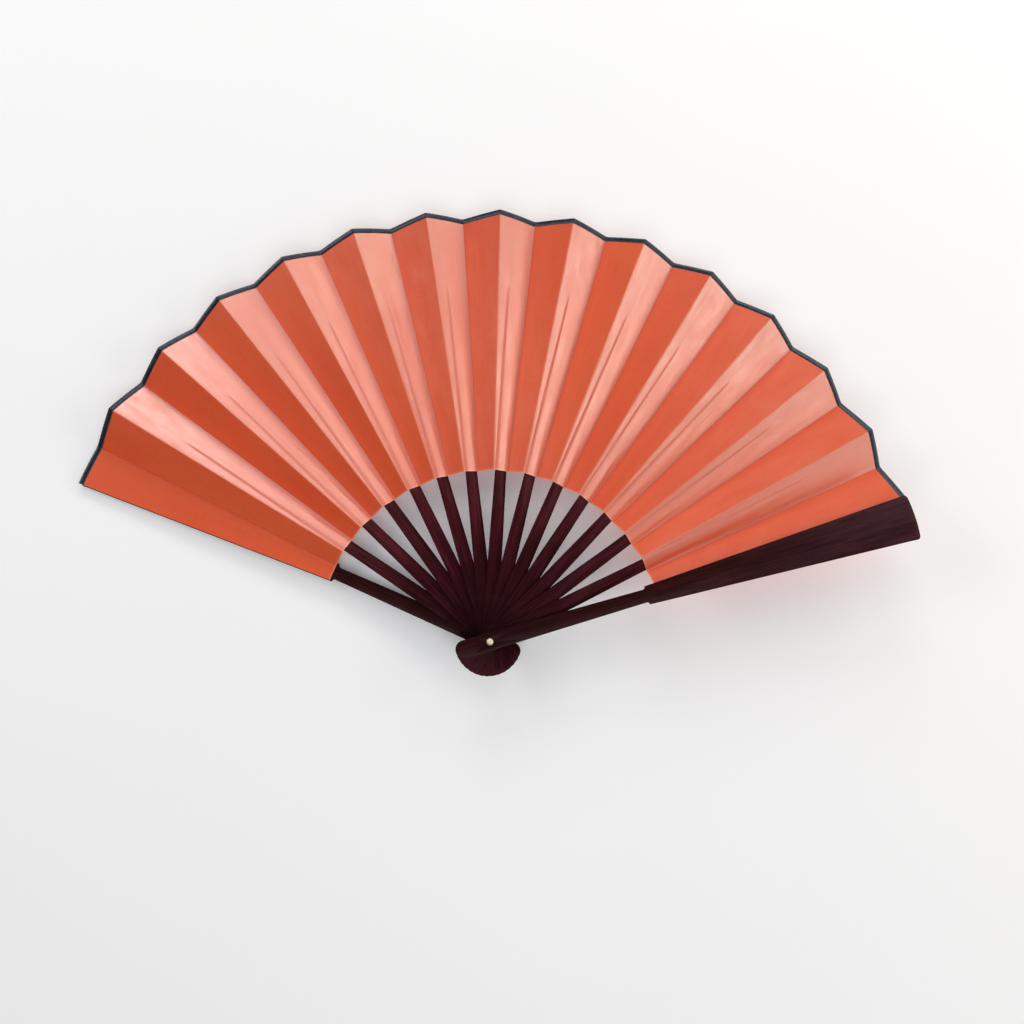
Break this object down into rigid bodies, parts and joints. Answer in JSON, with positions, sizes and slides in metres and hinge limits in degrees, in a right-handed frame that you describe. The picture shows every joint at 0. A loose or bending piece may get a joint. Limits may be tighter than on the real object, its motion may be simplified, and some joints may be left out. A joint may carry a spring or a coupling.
{
  "type": "folding fan",
  "caption": "Folding hand fan with a pleated silk leaf, a dark edge ribbon and dark wooden ribs and guards that close about one rivet.",
  "frame": {"origin": "on the pivot axis, on the flat back of the rivet", "axes": "+Z along the pivot axis towards the front guard, +Y along the middle rib of the open fan, +X towards the front guard's side"},
  "size_m": [0.3956, 0.223, 0.0298],
  "materials": {
    "guard_wood": "dark maroon hardwood, waxed to a low sheen",
    "rib_wood": "dark maroon hardwood, sanded smooth with a soft sheen",
    "leaf_silk": "coral plain-weave silk with a soft sheen, glued on the ribs",
    "edge_ribbon": "near-black satin ribbon folded over the edge",
    "rivet_metal": "pale polished brass"
  },
  "bodies": {
    "rear_guard": {"rear_guard": "guard_wood", "rivet": "rivet_metal", "rivet_washer": "rivet_metal", "leaf_end_rear": "leaf_silk"},
    "rib_01": {"rib_01": "rib_wood", "leaf_panel_01": "leaf_silk", "leaf_fold_01": "leaf_silk", "edge_ribbon_01": "edge_ribbon"},
    "rib_02": {"rib_02": "rib_wood", "leaf_panel_02": "leaf_silk", "leaf_fold_02": "leaf_silk", "edge_ribbon_02": "edge_ribbon"},
    "rib_03": {"rib_03": "rib_wood", "leaf_panel_03": "leaf_silk", "leaf_fold_03": "leaf_silk", "edge_ribbon_03": "edge_ribbon"},
    "rib_04": {"rib_04": "rib_wood", "leaf_panel_04": "leaf_silk", "leaf_fold_04": "leaf_silk", "edge_ribbon_04": "edge_ribbon"},
    "rib_05": {"rib_05": "rib_wood", "leaf_panel_05": "leaf_silk", "leaf_fold_05": "leaf_silk", "edge_ribbon_05": "edge_ribbon"},
    "rib_06": {"rib_06": "rib_wood", "leaf_panel_06": "leaf_silk", "leaf_fold_06": "leaf_silk", "edge_ribbon_06": "edge_ribbon"},
    "rib_07": {"rib_07": "rib_wood", "leaf_panel_07": "leaf_silk", "leaf_fold_07": "leaf_silk", "edge_ribbon_07": "edge_ribbon"},
    "rib_08": {"rib_08": "rib_wood", "leaf_panel_08": "leaf_silk", "leaf_fold_08": "leaf_silk", "edge_ribbon_08": "edge_ribbon"},
    "rib_09": {"rib_09": "rib_wood", "leaf_panel_09": "leaf_silk", "leaf_fold_09": "leaf_silk", "edge_ribbon_09": "edge_ribbon"},
    "rib_10": {"rib_10": "rib_wood", "leaf_panel_10": "leaf_silk", "leaf_fold_10": "leaf_silk", "edge_ribbon_10": "edge_ribbon"},
    "rib_11": {"rib_11": "rib_wood", "leaf_panel_11": "leaf_silk", "leaf_fold_11": "leaf_silk", "edge_ribbon_11": "edge_ribbon"},
    "rib_12": {"rib_12": "rib_wood", "leaf_panel_12": "leaf_silk", "leaf_fold_12": "leaf_silk", "edge_ribbon_12": "edge_ribbon"},
    "rib_13": {"rib_13": "rib_wood", "leaf_panel_13": "leaf_silk", "leaf_fold_13": "leaf_silk", "edge_ribbon_13": "edge_ribbon"},
    "front_guard": {"front_guard": "guard_wood", "leaf_end_front": "leaf_silk", "leaf_fold_14": "leaf_silk", "edge_ribbon_14": "edge_ribbon"}
  },
  "joints": [
    {"name": "pivot_01", "type": "hinge", "parent": "rear_guard", "child": "rib_01", "pos_m": [0, 0, 0.01], "axis": [0, 0, 1], "range_deg": [0, 10], "deforming": ["leaf_fold_01", "edge_ribbon_01"]},
    {"name": "pivot_02", "type": "hinge", "parent": "rib_01", "child": "rib_02", "pos_m": [0, 0, 0.01], "axis": [0, 0, 1], "range_deg": [0, 10], "deforming": ["leaf_fold_02", "edge_ribbon_02"]},
    {"name": "pivot_03", "type": "hinge", "parent": "rib_02", "child": "rib_03", "pos_m": [0, 0, 0.01], "axis": [0, 0, 1], "range_deg": [0, 10], "deforming": ["leaf_fold_03", "edge_ribbon_03"]},
    {"name": "pivot_04", "type": "hinge", "parent": "rib_03", "child": "rib_04", "pos_m": [0, 0, 0.01], "axis": [0, 0, 1], "range_deg": [0, 10], "deforming": ["leaf_fold_04", "edge_ribbon_04"]},
    {"name": "pivot_05", "type": "hinge", "parent": "rib_04", "child": "rib_05", "pos_m": [0, 0, 0.01], "axis": [0, 0, 1], "range_deg": [0, 10], "deforming": ["leaf_fold_05", "edge_ribbon_05"]},
    {"name": "pivot_06", "type": "hinge", "parent": "rib_05", "child": "rib_06", "pos_m": [0, 0, 0.01], "axis": [0, 0, 1], "range_deg": [0, 10], "deforming": ["leaf_fold_06", "edge_ribbon_06"]},
    {"name": "pivot_07", "type": "hinge", "parent": "rib_06", "child": "rib_07", "pos_m": [0, 0, 0.01], "axis": [0, 0, 1], "range_deg": [0, 10], "deforming": ["leaf_fold_07", "edge_ribbon_07"]},
    {"name": "pivot_08", "type": "hinge", "parent": "rib_07", "child": "rib_08", "pos_m": [0, 0, 0.01], "axis": [0, 0, 1], "range_deg": [0, 10], "deforming": ["leaf_fold_08", "edge_ribbon_08"]},
    {"name": "pivot_09", "type": "hinge", "parent": "rib_08", "child": "rib_09", "pos_m": [0, 0, 0.01], "axis": [0, 0, 1], "range_deg": [0, 10], "deforming": ["leaf_fold_09", "edge_ribbon_09"]},
    {"name": "pivot_10", "type": "hinge", "parent": "rib_09", "child": "rib_10", "pos_m": [0, 0, 0.01], "axis": [0, 0, 1], "range_deg": [0, 10], "deforming": ["leaf_fold_10", "edge_ribbon_10"]},
    {"name": "pivot_11", "type": "hinge", "parent": "rib_10", "child": "rib_11", "pos_m": [0, 0, 0.01], "axis": [0, 0, 1], "range_deg": [0, 10], "deforming": ["leaf_fold_11", "edge_ribbon_11"]},
    {"name": "pivot_12", "type": "hinge", "parent": "rib_11", "child": "rib_12", "pos_m": [0, 0, 0.01], "axis": [0, 0, 1], "range_deg": [0, 10], "deforming": ["leaf_fold_12", "edge_ribbon_12"]},
    {"name": "pivot_13", "type": "hinge", "parent": "rib_12", "child": "rib_13", "pos_m": [0, 0, 0.01], "axis": [0, 0, 1], "range_deg": [0, 10], "deforming": ["leaf_fold_13", "edge_ribbon_13"]},
    {"name": "pivot_14", "type": "hinge", "parent": "rib_13", "child": "front_guard", "pos_m": [0, 0, 0.01], "axis": [0, 0, 1], "range_deg": [0, 10], "deforming": ["leaf_fold_14", "edge_ribbon_14"]}
  ],
  "couplings": [
    {"joint": "pivot_02", "follows": "pivot_01", "ratio": 1},
    {"joint": "pivot_03", "follows": "pivot_01", "ratio": 1},
    {"joint": "pivot_04", "follows": "pivot_01", "ratio": 1},
    {"joint": "pivot_05", "follows": "pivot_01", "ratio": 1},
    {"joint": "pivot_06", "follows": "pivot_01", "ratio": 1},
    {"joint": "pivot_07", "follows": "pivot_01", "ratio": 1},
    {"joint": "pivot_08", "follows": "pivot_01", "ratio": 1},
    {"joint": "pivot_09", "follows": "pivot_01", "ratio": 1},
    {"joint": "pivot_10", "follows": "pivot_01", "ratio": 1},
    {"joint": "pivot_11", "follows": "pivot_01", "ratio": 1},
    {"joint": "pivot_12", "follows": "pivot_01", "ratio": 1},
    {"joint": "pivot_13", "follows": "pivot_01", "ratio": 1},
    {"joint": "pivot_14", "follows": "pivot_01", "ratio": 1}
  ]
}
